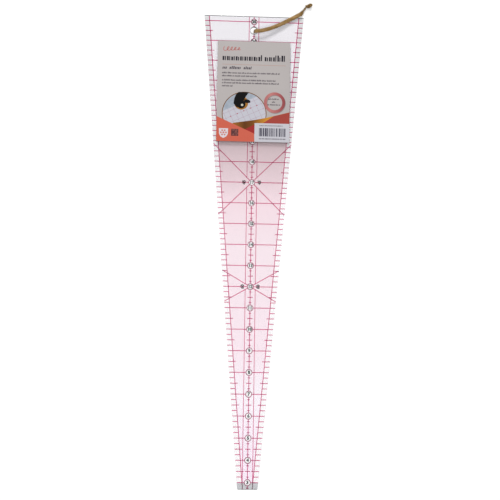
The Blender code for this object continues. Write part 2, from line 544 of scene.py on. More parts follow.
def acrylic_cast(tree, coords):
    """The sheet's colour: a rosy tint between the seams and clear margins, both greyed by painted
    shade towards the card, and a narrow end greyed by painted shade.
    """
    split = add_node(tree, "ShaderNodeSeparateXYZ", Vector=coords.outputs["Object"])
    tint_and_shade = colours_by_mark(tree, split.outputs["Y"], TINT_AND_PAINTED_SHADE)
    margin_shade = colours_by_mark(tree, split.outputs["Y"], MARGIN_PAINTED_SHADE)
    body = blend_colours(tree, inside_seams(tree, split), margin_shade, tint_and_shade)
    # The narrow end's grey band is painted shade.
    band_y = mark_y(END_BAND_MARK)
    past_end_shade = rescale(tree, split.outputs["Y"], band_y - TINT_EDGE, band_y + TINT_EDGE)
    with_end_shade = blend_colours(tree, past_end_shade, END_PAINTED_SHADE, body)
    return blend_colours(tree, outside_rings(tree, split), paint(255, 255, 255), with_end_shade)


def let_lamps_through(tree, shader):
    """Makes a shader transparent to lamps alone, so that they light what lies under it."""
    rays = add_node(tree, "ShaderNodeLightPath")
    see_through = add_node(tree, "ShaderNodeBsdfTransparent", Color=paint(254, 253, 254))
    mix = tree.nodes.new("ShaderNodeMixShader")
    tree.links.new(rays.outputs["Is Shadow Ray"], mix.inputs[0])
    tree.links.new(shader.outputs["BSDF"], mix.inputs[1])
    tree.links.new(see_through.outputs["BSDF"], mix.inputs[2])
    tree.links.new(mix.outputs["Shader"], tree.nodes["Material Output"].inputs["Surface"])


def clear_acrylic_material():
    material, tree, shader = start_material("clear_acrylic", 0.02)
    shader.inputs["IOR"].default_value = 1.49
    shader.inputs["Transmission Weight"].default_value = 1
    coords = add_node(tree, "ShaderNodeTexCoord")
    tree.links.new(acrylic_cast(tree, coords), shader.inputs["Base Color"])
    scratches = add_node(tree, "ShaderNodeMapping", Vector=coords.outputs["Object"])
    scratches.inputs["Rotation"].default_value = (0, 0, math.radians(28))
    scratches.inputs["Scale"].default_value = (2200, 60, 60)
    hairs = add_node(
        tree, "ShaderNodeTexNoise", Vector=scratches.outputs["Vector"], Scale=1, Detail=2
    )
    worn = rescale(tree, hairs.outputs["Fac"], 0.55, 0.80, 0.015, 0.09)
    tree.links.new(worn, shader.inputs["Roughness"])
    let_lamps_through(tree, shader)
    return material


def sawn_edge_material():
    """The sawn ends and the drilled hole: saw marks, and a dark grey that is painted shade."""
    material, tree, shader = start_material("sawn_edge_shade", 0.4)
    shader.inputs["IOR"].default_value = 1.49
    shader.inputs["Transmission Weight"].default_value = 0.15
    coords = add_node(tree, "ShaderNodeTexCoord")
    saw_marks = add_node(tree, "ShaderNodeMapping", Vector=coords.outputs["Object"])
    saw_marks.inputs["Scale"].default_value = (900, 900, 60)
    streaks = add_node(
        tree, "ShaderNodeTexNoise", Vector=saw_marks.outputs["Vector"], Scale=1, Detail=3
    )
    # The edges' dark grey, streaked along the saw marks, is painted shade.
    painted_edge_shade = blend_colours(tree, streaks.outputs["Fac"], paint(30, 36, 38), paint(66, 74, 76))
    tree.links.new(painted_edge_shade, shader.inputs["Base Color"])
    add_bump(tree, shader, streaks.outputs["Fac"], 0.4, 0.03 * MM)
    let_lamps_through(tree, shader)
    return material


clear_acrylic = clear_acrylic_material()
sawn_edge_shade = sawn_edge_material()
print("cast at", len(TINT_AND_PAINTED_SHADE), "marks")

# %% [markdown]
# ## The blade
#
# The blade is cut from 3 mm sheet, its corners are rounded, a hole is drilled for hanging it, and
# its rims are flame-polished until they are slightly round. The outline is four corners, rounded
# by a vertex bevel. The hole is a circle laid inside it, and the fill operator covers what lies
# between them. One extrusion makes the sheet, and bevelling its rims polishes them.

# %% Make the blade
CORNER_RADIUS = 1.2 * MM
HOLE_RADIUS = 4.5 * MM
HOLE_SIDES = 96
POLISHED_ROUND = 0.35 * MM


def sharp_rims(bm):
    """The edges where a level face meets an upright one."""
    return [
        edge
        for edge in bm.edges
        if len(edge.link_faces) == 2
        and abs(edge.link_faces[0].normal.z - edge.link_faces[1].normal.z) > 0.5
    ]


def thicken(bm, flat, thickness, ink=0):
    """Makes level faces that stand alone into a closed slab."""
    made = bmesh.ops.extrude_face_region(bm, geom=flat)["geom"]
    raised = [item for item in made if isinstance(item, bmesh.types.BMVert)]
    bmesh.ops.translate(bm, vec=(0, 0, thickness), verts=raised)
    for face in {face for vert in raised for face in vert.link_faces} | set(flat):
        face.material_index = ink


def raise_sheet(bm, height):
    """Makes a bmesh of level faces into a closed sheet, with its faces outwards."""
    thicken(bm, bm.faces[:], height)
    bmesh.ops.recalc_face_normals(bm, faces=bm.faces[:])


def round_off(bm, geom, affect, radius, segments):
    """Rounds corners or edges."""
    bmesh.ops.bevel(
        bm,
        geom=geom,
        offset=radius,
        affect=affect,
        segments=segments,
        profile=0.5,
        material=-1,
    )


def make_blade():
    bm = bmesh.new()
    marks = ((-1, NARROW_END_MARK), (1, NARROW_END_MARK), (1, WIDE_END_MARK), (-1, WIDE_END_MARK))
    corners = [bm.verts.new((side * half_width(mark), mark_y(mark), 0)) for side, mark in marks]
    bm.faces.new(corners)
    round_off(bm, corners, "VERTICES", CORNER_RADIUS, segments=8)
    bmesh.ops.delete(bm, geom=bm.faces[:], context="FACES_ONLY")
    hole = Matrix.Translation(hole_middle)
    bmesh.ops.create_circle(bm, segments=HOLE_SIDES, radius=HOLE_RADIUS, matrix=hole)
    bmesh.ops.triangle_fill(bm, use_beauty=True, edges=bm.edges[:], normal=(0, 0, 1))
    raise_sheet(bm, blade_high.z)
    round_off(bm, sharp_rims(bm), "EDGES", POLISHED_ROUND, segments=4)
    bm.normal_update()
    # The ends and the hole wall take the edge finish that is painted dark grey as shade.
    for face in bm.faces:
        in_hole = (face.calc_center_median() - hole_middle).to_2d().length < 1.2 * HOLE_RADIUS
        at_end = abs(face.normal.y) > abs(face.normal.x) or in_hole
        face.material_index = 1 if at_end and abs(face.normal.z) < 0.95 else 0
    return finish_mesh("clear_blade", bm, [clear_acrylic, sawn_edge_shade], sharp_angle=8)


clear_blade = make_blade()

# %% [markdown]
# ## Printing ink
#
# The scale is screen-printed on the underside in magenta, and its numbers in a dark grey-green.
# Screen ink is opaque, lies a few hundredths of a millimetre thick, and has a slightly uneven
# tone, because the mesh of the screen lays down a little more here and a little less there. The
# same recipe, with other colours and finishes, also prints the card.

# %% Make the ruler's inks


def ink_material(name, colour, thin_colour, roughness=0.6, metallic=0.0, patch=700):
    """An opaque ink whose tone wanders between two colours in small patches."""
    material, tree, shader = start_material(name, roughness, metallic)
    shader.inputs["Specular IOR Level"].default_value = 0.12
    coords = add_node(tree, "ShaderNodeTexCoord")
    patches = speckle(tree, coords, patch)
    tone = blend_colours(tree, patches, colour, thin_colour)
    tree.links.new(tone, shader.inputs["Base Color"])
    add_bump(tree, shader, patches, 0.15, 0.02 * MM)
    return material


magenta_ink = ink_material("magenta_ink", paint(186, 0, 96), paint(200, 20, 112))
number_ink = ink_material("number_ink", paint(12, 22, 20), paint(28, 40, 38))
ring_ink = ink_material("ring_ink", paint(122, 10, 62), paint(138, 26, 78))
print("inks:", magenta_ink.name, number_ink.name, ring_ink.name)

# %% [markdown]
# ## The printed lines
#
# The scale has a centre line with a ring at every inch, lines straight across at every inch,
# quarter-inch ticks along the centre line and both edges, seam lines 6 mm inside the edges, and
# angle lines through 17 and 12. Almost all of it is straight strokes, so one function lays a
# stroke of ink between two points, and loops over the marks place every stroke. The ink lies on
# the underside, where a printed face touches the cloth.

# %% Print the lines
LINE_WIDTH = 0.95 * MM
FINE_WIDTH = 0.75 * MM
INK_TOP = -0.01 * MM
INK_THICKNESS = 0.03 * MM
RING_WIDTH = 0.95 * MM
LINE_END = 0.3 * MM
NUMBERS = range(3, 26)
ANGLE_MARKS = {17: 45, 12: 30}


def lay_stroke(bm, start, end, width, top=INK_TOP, thickness=INK_THICKNESS, ink=0):
    """A straight stroke of ink from one point of X and Y to another."""
    start, end = Vector(start), Vector(end)
    along = end - start
    middle = ((start + end) / 2).to_3d()
    middle.z = top - thickness / 2
    turn = Matrix.Rotation(math.atan2(along.y, along.x), 4, "Z")
    size = Matrix.Diagonal((along.length, width, thickness, 1))
    made = bmesh.ops.create_cube(bm, size=1, matrix=Matrix.Translation(middle) @ turn @ size)
    for face in {face for vert in made["verts"] for face in vert.link_faces}:
        face.material_index = ink


def lay_both_sides(bm, start, end, width):
    """A stroke and its mirror image on the other side of the centre line."""
    for side in (-1, 1):
        lay_stroke(bm, (side * start[0], start[1]), (side * end[0], end[1]), width)


def spans_between(low, high, gaps):
    """The stretches of low to high that no gap covers. A gap is its middle and its half length."""
    spans = []
    for middle, half in sorted(gaps):
        if middle - half > low:
            spans.append((low, middle - half))
        low = max(low, middle + half)
    return [*spans, (low, high)] if low < high else spans


def print_lengthwise_lines(bm):
    """The centre line, the two fine lines beside it and the two seam lines."""
    low, high = mark_y(NARROW_END_MARK) + LINE_END, mark_y(WIDE_END_MARK) - LINE_END
    rings = [(mark_y(number), RING_RADIUS) for number in NUMBERS]
    for start, end in spans_between(low, high, [*rings, (hole_middle.y, HOLE_RADIUS + LINE_END)]):
        lay_stroke(bm, (0, start), (0, end), LINE_WIDTH)
    crossings = [
        (mark_y(mark), SEAM * math.tan(math.radians(angle)))
        for mark, angle in ANGLE_MARKS.items()
    ]
    for start, end in spans_between(low, high, crossings):
        lay_both_sides(bm, (SEAM, start), (SEAM, end), FINE_WIDTH)
    inset = SEAM / math.cos(math.atan(EDGE_LEAN))
    lay_both_sides(
        bm,
        (half_width(NARROW_END_MARK) - inset, low),
        (half_width(WIDE_END_MARK) - inset, high),
        LINE_WIDTH,
    )


def print_inch_lines(bm):
    """A line straight across at every inch, with a gap for the ring."""
    for number in NUMBERS:
        y = mark_y(number)
        lay_both_sides(bm, (RING_RADIUS, y), (half_width(number) - LINE_END, y), LINE_WIDTH)


def print_ticks(bm):
    """Quarter-inch ticks along the centre line and both edges. Half inches are longer."""
    quarters = range(math.ceil(NARROW_END_MARK * 4), math.floor(WIDE_END_MARK * 4) + 1)
    for quarter in quarters:
        mark = quarter / 4
        if quarter % 4 == 0 or mark > WIDE_END_MARK - 0.1:
            continue
        half_inch = quarter % 2 == 0
        y = mark_y(mark)
        reach = INCH / 8 if half_inch else INCH / 16
        if abs(y - hole_middle.y) > HOLE_RADIUS + LINE_END:
            lay_stroke(bm, (-reach, y), (reach, y), LINE_WIDTH)
        if mark < END_BAND_MARK:
            continue
        edge = half_width(mark)
        inner = edge - SEAM - (INCH / 8 if half_inch else 0)
        lay_both_sides(bm, (inner, y), (edge - LINE_END, y), LINE_WIDTH)


def print_angle_lines(bm):
    """The lines that cross at the angle marks, from the ring out to the edges."""
    for mark, angle in ANGLE_MARKS.items():
        for rise in (-1, 1):
            slope = rise * math.tan(math.radians(angle))
            # The edge leans, so the line meets it where both give the same X.
            reach = (half_width(mark) - LINE_END) / (1 - slope * EDGE_LEAN)
            inner = RING_RADIUS * math.cos(math.radians(angle))
            y = mark_y(mark)
            lay_both_sides(bm, (inner, y + slope * inner), (reach, y + slope * reach), LINE_WIDTH)


def print_lines():
    bm = bmesh.new()
    print_lengthwise_lines(bm)
    print_inch_lines(bm)
    print_ticks(bm)
    print_angle_lines(bm)
    return finish_mesh("printed_lines", bm, [magenta_ink])


printed_lines = print_lines()

# %% [markdown]
# ## The numbers in their rings
#
# Each inch has its number in a ring. A text object makes the digits, from Blender's own plain
# font: it is given a thickness, turned into a mesh, and only then put in its place, and its caps
# and sides are welded so that every digit is closed. A ring is two circles, bridged and extruded.
# The angle lines carry their own small numbers, turned to read along the blade.

# %% Print the numbers
DIGIT_HEIGHT = 5.2 * MM
ANGLE_DIGIT_HEIGHT = 5.0 * MM
ANGLE_LABEL_OUT = 9.4 * MM


def add_number(bm, words, height, place, turn=0.0):
    """Adds a number to a bmesh, as closed strokes of ink with their middle at a place."""
    curve = bpy.data.curves.new("number", "FONT")
    curve.body = words
    curve.size = height
    curve.align_x = "CENTER"
    curve.align_y = "CENTER"
    curve.resolution_u = 4
    curve.extrude = INK_THICKNESS / 2
    curve.offset = height * 0.07
    written = bpy.data.objects.new("number", curve)
    mesh = bpy.data.meshes.new_from_object(written)
    middle = Matrix.Translation((place[0], place[1], INK_TOP - INK_THICKNESS / 2))
    mesh.transform(middle @ Matrix.Rotation(turn, 4, "Z"))
    bm.from_mesh(mesh)
    bpy.data.objects.remove(written)
    bpy.data.curves.remove(curve)
    bpy.data.meshes.remove(mesh)


def add_ring(bm, middle, radius, width, top=INK_TOP, thickness=INK_THICKNESS, ink=0, sides=48):
    """A flat ring of ink, closed all round."""
    place = Matrix.Translation((middle[0], middle[1], top - thickness))
    edges = []
    for size in (radius, radius - width):
        circle = bmesh.ops.create_circle(bm, segments=sides, radius=size, matrix=place)["verts"]
        edges += {edge for vert in circle for edge in vert.link_edges}
    flat = bmesh.ops.bridge_loops(bm, edges=edges)["faces"]
    thicken(bm, flat, thickness, ink)


def print_numbers():
    bm = bmesh.new()
    for number in NUMBERS:
        place = (0, mark_y(number))
        add_ring(bm, place, RING_RADIUS, RING_WIDTH, ink=1)
        add_number(bm, str(number), DIGIT_HEIGHT, place)
    for mark, angle in ANGLE_MARKS.items():
        for side in (-1, 1):
            place = (side * ANGLE_LABEL_OUT, mark_y(mark))
            # An angle line is labelled by its lean from the centre line.
            label = str(90 - angle)
            add_number(bm, label, ANGLE_DIGIT_HEIGHT, place, turn=math.radians(90))
    bmesh.ops.remove_doubles(bm, verts=bm.verts, dist=0.001 * MM)
    return finish_mesh("printed_numbers", bm, [number_ink, ring_ink])


printed_numbers = print_numbers()

# %% [markdown]
# ## The label board
#
# The label is a half-millimetre board with a satin coating over pale grey pulp, cut by a die that
# leaves its corners a touch round and its edges slightly crushed. It is one level face, rounded
# at its corners, extruded and bevelled. Its finish is a warm grey that wanders a little, with the
# fine tooth of board as a bump.

# %% Make the board
BOARD_CORNER = 0.8 * MM
BOARD_CRUSH = 0.12 * MM
card_low, card_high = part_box("label_card")
card_middle = (card_low + card_high) / 2


def board_material():
    material, tree, shader = start_material("printed_board", 0.5)
    coords = add_node(tree, "ShaderNodeTexCoord")
    cloud = speckle(tree, coords, 14)
    tooth = speckle(tree, coords, 1900, detail=4)
    wander = blend_colours(tree, cloud, paint(155, 149, 148), paint(169, 163, 161))
    fibres = rescale(tree, tooth, 0.62, 0.80, 0, 0.5)
    colour = blend_colours(tree, fibres, wander, paint(140, 134, 133))
    tree.links.new(colour, shader.inputs["Base Color"])
    add_bump(tree, shader, tooth, 0.25, 0.02 * MM)
    return material


def rounded_sheet(low, high, corner, rim):
    """A bmesh of a level sheet between two corners of a box, with round corners and soft rims."""
    bm = bmesh.new()
    places = ((low.x, low.y), (high.x, low.y), (high.x, high.y), (low.x, high.y))
    verts = [bm.verts.new((x, y, low.z)) for x, y in places]
    bm.faces.new(verts)
    round_off(bm, verts, "VERTICES", corner, segments=6)
    raise_sheet(bm, high.z - low.z)
    round_off(bm, sharp_rims(bm), "EDGES", rim, segments=3)
    return bm


label_board = finish_mesh(
    "label_board",
    rounded_sheet(card_low, card_high, BOARD_CORNER, BOARD_CRUSH),
    [board_material()],
    sharp_angle=12,
)

# %% [markdown]
# ## Printing on the board
#
# The label's print is built as the press lays it down: flat shapes, one ink over another, each a
# hundredth of a millimetre higher than the one below. A shape is given in the label's own
# millimetres, from its middle, as an outline of a few corners or as a disc, and then thickened
# into a closed slab. The wording is not written out. Rows of blocks the size of letters stand for
# it, which keeps the layout and the tone of the label without saying anything.

# %% Make helpers for printing on the board
INK_LEVEL = 0.012 * MM
INK_SINK = 0.008 * MM


def on_board(x, y, level=0):
    """A place on the board, from its middle, in metres. A level is a layer of ink."""
    return Vector((card_middle.x + x * MM, card_middle.y + y * MM, card_high.z + level * INK_LEVEL))


def print_outline(bm, corners, level=1, ink=0):
    """A patch of ink with straight sides."""
    base = on_board(0, 0).z - INK_SINK
    verts = [bm.verts.new(on_board(x, y)) for x, y in corners]
    for vert in verts:
        vert.co.z = base
    thicken(bm, [bm.faces.new(verts)], level * INK_LEVEL + INK_SINK, ink)


def print_disc(bm, x, y, radius, level=1, ink=0, sides=64):
    """A round patch of ink."""
    place = Matrix.Translation(on_board(x, y) - Vector((0, 0, INK_SINK)))
    circle = bmesh.ops.create_circle(
        bm, cap_ends=True, segments=sides, radius=radius * MM, matrix=place
    )["verts"]
    face = next(iter(circle[0].link_faces))
    thicken(bm, [face], level * INK_LEVEL + INK_SINK, ink)


def print_ring(bm, x, y, radius, width, level=1, ink=0):
    """A ring of ink."""
    place = on_board(x, y, level)
    thickness = level * INK_LEVEL + INK_SINK
    add_ring(bm, place, radius * MM, width * MM, place.z, thickness, ink, sides=96)


def print_stroke(bm, start, end, width, level=1, ink=0):
    """A straight stroke of ink."""
    top = on_board(0, 0, level).z
    ends = [on_board(*point).to_2d() for point in (start, end)]
    lay_stroke(bm, *ends, width * MM, top, level * INK_LEVEL + INK_SINK, ink)


def print_blocks(bm, x, y, widths, height, gap, rng, ink=0, slant=0.0):
    """A word of letter-sized blocks from x on, some a little taller. Returns where it ends."""
    for width in widths:
        tall = height * rng.choice((1.0, 1.0, 1.35))
        lean = slant * tall
        corners = (
            (x, y),
            (x + width, y),
            (x + width + lean, y + tall),
            (x + lean, y + tall),
        )
        print_outline(bm, corners, ink=ink)
        x += width + gap
    return x


def print_stems(bm, x, y, widths, height, gap, rng, ink=0):
    """A word of heavy type: for each letter a thick upright and a thin one, some taller."""
    for width in widths:
        for start, share in ((0, 0.5), (0.66, 0.3)):
            left, right = x + start * width, x + (start + share) * width
            top = y + height * rng.choice((0.9, 1.0, 1.0, 1.45))
            print_outline(bm, ((left, y), (right, y), (right, top), (left, top)), ink=ink)
        x += width + gap


def print_line(bm, x, end, y, height, rng, ink=0, slant=0.0):
    """A line of words from x to end, at random lengths."""
    letter = height * 0.75
    while x < end - 2 * letter:
        letters = rng.randint(2, 7)
        room = max(1, min(letters, int((end - x) / letter)))
        widths = [letter * rng.uniform(0.5, 0.9) for _ in range(room)]
        x = print_blocks(bm, x, y, widths, height, letter * 0.28, rng, ink, slant) + letter * 0.6


print("an ink layer is", INK_LEVEL / MM, "mm thick")

# %% [markdown]
# ## The wording
#
# At the top stands a small coral flourish, then a heavy dark title of two words, a fine rule, a
# slanted subtitle and five rows of small print. The random lengths come from one seeded source,
# so the label is printed the same way each time.

# %% Print the wording
LEFT_MARGIN = -38.9
TITLE_WORDS = ((-38.7, 10.2, 9), (13.3, 38.5, 5))
TITLE_BASE = 38.6
TITLE_HEIGHT = 5.3
RULE = ((LEFT_MARGIN, 33.4), (39.5, 33.4), 0.4)
SUBTITLE_WORDS = ((LEFT_MARGIN, -31.5), (-30.2, -14.8), (-12.8, 0))
SUBTITLE_BASE = 27.6
SUBTITLE_HEIGHT = 2.7
SUBTITLE_SLANT = 0.25
SMALL_PRINT_HEIGHT = 1.5
# Each row of small print is its base and where it ends.
SMALL_PRINT = ((21.8, 34.9), (18.0, 6.5), (12.7, 27.6), (9.1, 33.8), (5.2, -24.7))
FLOURISH_START = -36.5
FLOURISH_LENGTH = 20
FLOURISH_MIDDLE = 53.6
FLOURISH_LOOPS = 4.5
FLOURISH_SWING = Vector((2.1, 2.8))
FLOURISH_STEPS = 96
FLOURISH_LINE = 0.75

coral_print = ink_material("coral_print", paint(160, 78, 74), paint(176, 98, 92))
dark_print = ink_material("dark_print", paint(26, 24, 32), paint(42, 40, 48))
grey_print = ink_material("grey_print", paint(66, 60, 68), paint(84, 78, 84))
rule_print = ink_material("rule_print", paint(158, 116, 102), paint(168, 128, 114))


def print_flourish(bm):
    """A coiling pen stroke, whose loops die away to the right."""
    points = []
    for step in range(FLOURISH_STEPS + 1):
        share = step / FLOURISH_STEPS
        angle = share * FLOURISH_LOOPS * math.tau
        x = FLOURISH_START + FLOURISH_LENGTH * share - FLOURISH_SWING.x * math.sin(angle)
        swing = FLOURISH_SWING.y * (1 - share / 2)
        points.append((x, FLOURISH_MIDDLE + swing * math.cos(angle + 0.5)))
    for start, end in zip(points, points[1:], strict=False):
        print_stroke(bm, start, end, FLOURISH_LINE)


def print_wording():
    rng = random.Random(4)
    bm = bmesh.new()
    print_flourish(bm)
    for start, end, letters in TITLE_WORDS:
        pitch = (end - start) / letters
        widths = [pitch * rng.uniform(0.76, 0.9) for _ in range(letters)]
        gap = (end - start - sum(widths)) / (letters - 1)
        print_stems(bm, start, TITLE_BASE, widths, TITLE_HEIGHT, gap, rng, ink=1)
    print_stroke(bm, *RULE, ink=3)
    for start, end in SUBTITLE_WORDS:
        print_line(bm, start, end, SUBTITLE_BASE, SUBTITLE_HEIGHT, rng, 2, SUBTITLE_SLANT)
    for base, end in SMALL_PRINT:
        print_line(bm, LEFT_MARGIN, end, base, SMALL_PRINT_HEIGHT, rng, ink=2)
    return finish_mesh("label_wording", bm, [coral_print, dark_print, grey_print, rule_print])


label_wording = print_wording()

# %% [markdown]
# ## The colour bands
#
# Across the foot of the label sweep a coral band, a gold one that runs from bronze to bright, and
# a brick red one. They are cut as straight-sided patches. The gold's change of tone along the
# label is a gradient on Object X, which stays with the label wherever the ruler goes.

# %% Print the colour bands
CORAL_BAND = ((-44.7, -32.4), (1.4, -53.1), (2.0, -63.4), (-44.7, -63.4))
GOLD_BAND = (
    (-25.0, -40.4), (1.4, -36.2), (16.9, -32.9), (44.7, -25.3), (44.7, -40.4), (2.2, -40.4),
    (2.2, -50.0), (-25.0, -50.0),
)
BRICK_BAND = ((11.2, -40.6), (25.2, -30.8), (44.7, -25.5), (44.7, -40.6))
SHADED_BAND = ((-10.6, -48.4), (2.2, -41.6), (2.2, -54.0))


def foil_material(name, start, end, stops):
    """A foil whose tone runs through its stops from one X on the board to another."""
    material, tree, shader = start_material(name, 0.42, metallic=0.15)
    shader.inputs["Specular IOR Level"].default_value = 0.2
    coords = add_node(tree, "ShaderNodeTexCoord")
    split = add_node(tree, "ShaderNodeSeparateXYZ", Vector=coords.outputs["Object"])
    along = rescale(tree, split.outputs["X"], on_board(start, 0).x, on_board(end, 0).x)
    tree.links.new(colour_ramp(tree, along, stops), shader.inputs["Base Color"])
    add_bump(tree, shader, speckle(tree, coords, 1300, detail=2), 0.1, 0.02 * MM)
    return material


GOLD_TONES = (
    (0.0, paint(150, 98, 40)),
    (0.22, paint(92, 52, 20)),
    (0.36, paint(112, 66, 24)),
    (0.6, paint(190, 128, 44)),
    (1.0, paint(176, 116, 46)),
)
gold_print = foil_material("gold_print", -26, 44.7, GOLD_TONES)
bright_coral_print = ink_material("bright_coral_print", paint(180, 85, 68), paint(188, 93, 75))
brick_print = ink_material("brick_print", paint(144, 60, 52), paint(152, 67, 59))
shaded_brick_print = ink_material("shaded_brick_print", paint(140, 38, 38), paint(148, 46, 44))


def print_bands():
    bm = bmesh.new()
    print_outline(bm, GOLD_BAND, level=4, ink=1)
    print_outline(bm, BRICK_BAND, level=5, ink=2)
    print_outline(bm, SHADED_BAND, level=5, ink=3)
    print_outline(bm, CORAL_BAND, level=6, ink=0)
    return finish_mesh(
        "label_bands", bm, [bright_coral_print, gold_print, brick_print, shaded_brick_print]
    )


label_bands = print_bands()

# %% [markdown]
# ## The picture
#
# A round picture shows the ruler in use: blue-grey cloth, a pale ruler with a rosy grid lying over
# it, and a rotary cutter with its black handle and ochre guard. The cloth is a disc. The ruler is
# a second disc, cut by a bisecting plane along its edge, and the grid's strokes are as long as
# the disc is wide where they cross it. The bands cover the picture's foot.

# %% Print the picture
PICTURE_X = -11.0
PICTURE_Y = -28.3
PICTURE_RADIUS = 27.4
PICTURE_RIM = 1.0
RULER_EDGE_POINT = (-39.0, -26.6)
RULER_EDGE_ANGLE = math.radians(25)
GRID_SPACING = 6.8
GRID_MARKS = ((-27.4, -32.3), (4.4, -17.7), 5)
GRID_LINE = 0.28
GRID_MARK_RADIUS = 0.75
CUTTER_HANDLE = (
    (-24.3, -15.7), (-23.4, -9.5), (-21.5, -4.6), (-18.2, -1.3), (-5.4, -1.3),
    (-8.3, -5.4), (-10.4, -8.8), (-12.0, -13.5), (-15.5, -20.5), (-20.5, -20.6),
)
CUTTER_NUB = (
    (-11.0, -10.6), (-7.2, -10.4), (-3.6, -12.0), (-3.8, -14.6), (-7.6, -15.2), (-11.5, -14.4),
)
# Discs of the cutter: x, y and radius.
CUTTER_GUARD = (-14.9, -14.9, 8.6)
CUTTER_COVER = (-15.0, -16.6, 5.4)
CUTTER_PIVOT = (-13.7, -17.6, 1.5)


def ruler_edge_normal():
    """The direction away from the pictured ruler, square to its edge."""
    return Vector((-math.sin(RULER_EDGE_ANGLE), math.cos(RULER_EDGE_ANGLE), 0))


def print_pictured_ruler(bm):
    """A disc of pale ink, cut along the pictured ruler's edge."""
    disc = bmesh.new()
    print_disc(disc, PICTURE_X, PICTURE_Y, PICTURE_RADIUS - PICTURE_RIM / 2, level=2, ink=1)
    cut = bmesh.ops.bisect_plane(
        disc,
        geom=disc.verts[:] + disc.edges[:] + disc.faces[:],
        plane_co=on_board(*RULER_EDGE_POINT),
        plane_no=ruler_edge_normal(),
        clear_outer=True,
    )["geom_cut"]
    rim = [item for item in cut if isinstance(item, bmesh.types.BMEdge)]
    bmesh.ops.holes_fill(disc, edges=rim)
    for face in disc.faces:
        face.material_index = 1
    mesh = bpy.data.meshes.new("pictured_ruler")
    disc.to_mesh(mesh)
    disc.free()
    bm.from_mesh(mesh)
    bpy.data.meshes.remove(mesh)


def print_pictured_grid(bm):
    """Fine rosy strokes along the pictured ruler and across it, kept inside the disc."""
    away = ruler_edge_normal().to_2d()
    along = Vector((away.y, -away.x))
    middle = Vector((PICTURE_X, PICTURE_Y))
    radius = PICTURE_RADIUS - PICTURE_RIM
    to_edge = (Vector(RULER_EDGE_POINT) - middle).dot(away)
    offset = to_edge - GRID_SPACING / 2
    while offset > -radius:
        half = math.sqrt(radius**2 - offset**2)
        foot = middle + away * offset
        print_stroke(bm, foot - along * half, foot + along * half, GRID_LINE, level=3, ink=2)
        offset -= GRID_SPACING
    across = -radius + GRID_SPACING / 2
    while across < radius:
        half = math.sqrt(radius**2 - across**2)
        if half > -to_edge:
            foot = middle + along * across
            top = foot + away * min(half, to_edge)
            print_stroke(bm, foot - away * half, top, GRID_LINE, level=3, ink=2)
        across += GRID_SPACING


def print_grid_marks(bm):
    """A row of small red marks along the middle of the pictured ruler."""
    start, end, count = GRID_MARKS
    for mark in range(count):
        place = Vector(start).lerp(Vector(end), mark / (count - 1))
        print_disc(bm, place.x, place.y, GRID_MARK_RADIUS, level=4, ink=7, sides=12)


def print_cutter(bm):
    """The rotary cutter: an ochre guard, a black handle and blade cover, and a pale pivot."""
    print_disc(bm, *CUTTER_GUARD, level=4, ink=4)
    print_outline(bm, CUTTER_HANDLE, level=5, ink=3)
    print_outline(bm, CUTTER_NUB, level=5, ink=3)
    print_disc(bm, *CUTTER_COVER, level=6, ink=3)
    print_disc(bm, *CUTTER_PIVOT, level=7, ink=5)


cloth_print = ink_material("cloth_print", paint(128, 136, 147), paint(162, 170, 181), patch=260)
pale_print = ink_material("pale_print", paint(172, 172, 181), paint(181, 180, 188))
rosy_print = ink_material("rosy_print", paint(150, 122, 138), paint(160, 132, 146))
black_print = ink_material("black_print", paint(8, 9, 10), paint(18, 18, 19))
ochre_print = ink_material("ochre_print", paint(134, 88, 32), paint(156, 108, 44))
pivot_print = ink_material("pivot_print", paint(180, 176, 158), paint(188, 184, 168))
red_print = ink_material("red_print", paint(146, 62, 74), paint(158, 74, 84))
rim_print = ink_material("rim_print", paint(58, 40, 26), paint(142, 96, 42), patch=40)


def print_picture():
    bm = bmesh.new()
    print_disc(bm, PICTURE_X, PICTURE_Y, PICTURE_RADIUS - PICTURE_RIM / 2, sides=128)
    print_pictured_ruler(bm)
    print_pictured_grid(bm)
    print_grid_marks(bm)
    print_cutter(bm)
    print_ring(bm, PICTURE_X, PICTURE_Y, PICTURE_RADIUS, PICTURE_RIM, level=3, ink=6)
    inks = [cloth_print, pale_print, rosy_print, black_print, ochre_print, pivot_print]
    return finish_mesh("label_picture", bm, [*inks, rim_print, red_print])


label_picture = print_picture()

# %% [markdown]
# ## The badge, the marks and the bar code
#
# A ring of rose foil frames three short rows of wording, with its own shadow printed under it. On
# the coral band stand a white shield with a small flower and a dark square of small cells. A
# white panel at the corner carries bars of random widths, so it looks like a bar code and can't
# be read as one.

# %% Print the badge, the marks and the bar code
BADGE = Vector((26.1, -13.7))
BADGE_RADIUS = 13.1
BADGE_WIDTH = 3.7
BADGE_ROWS = ((18.3, 33.2, -10.2), (23.0, 28.2, -13.9), (17.5, 34.2, -17.3))
BADGE_SHADOW = Vector((0.7, -0.9))
SHIELD = (
    (-41.6, -47.4), (-30.3, -47.4), (-30.5, -54.0), (-32.4, -57.6), (-36.0, -59.6),
    (-39.6, -57.6), (-41.4, -54.0),
)
FLOWER = Vector((-36.0, -52.6))
FLOWER_REACH = 3.1
HEART_RADIUS = 1.1
PETAL_RADIUS = 1.0
PETALS = 6
CELL_SQUARE = (-26.6, -56.6, 8.8)
CELLS = 9
PALE_CELLS = 0.35
PANEL = ((1.9, -40.0), (44.6, -40.0), (44.6, -63.3), (1.9, -63.3))
BARS = (7.4, 39.4, -56.4, -46.0)
BAR_WIDTHS = (0.4, 0.4, 0.8, 1.2, 1.6)
BAR_GAPS = (0.4, 0.4, 0.8, 1.2)
# Each row of wording on the panel is its start, its end, its base and its height.
PANEL_ROWS = ((8.0, 36.0, -43.6, 1.2), (7.6, 39.4, -60.2, 1.5))

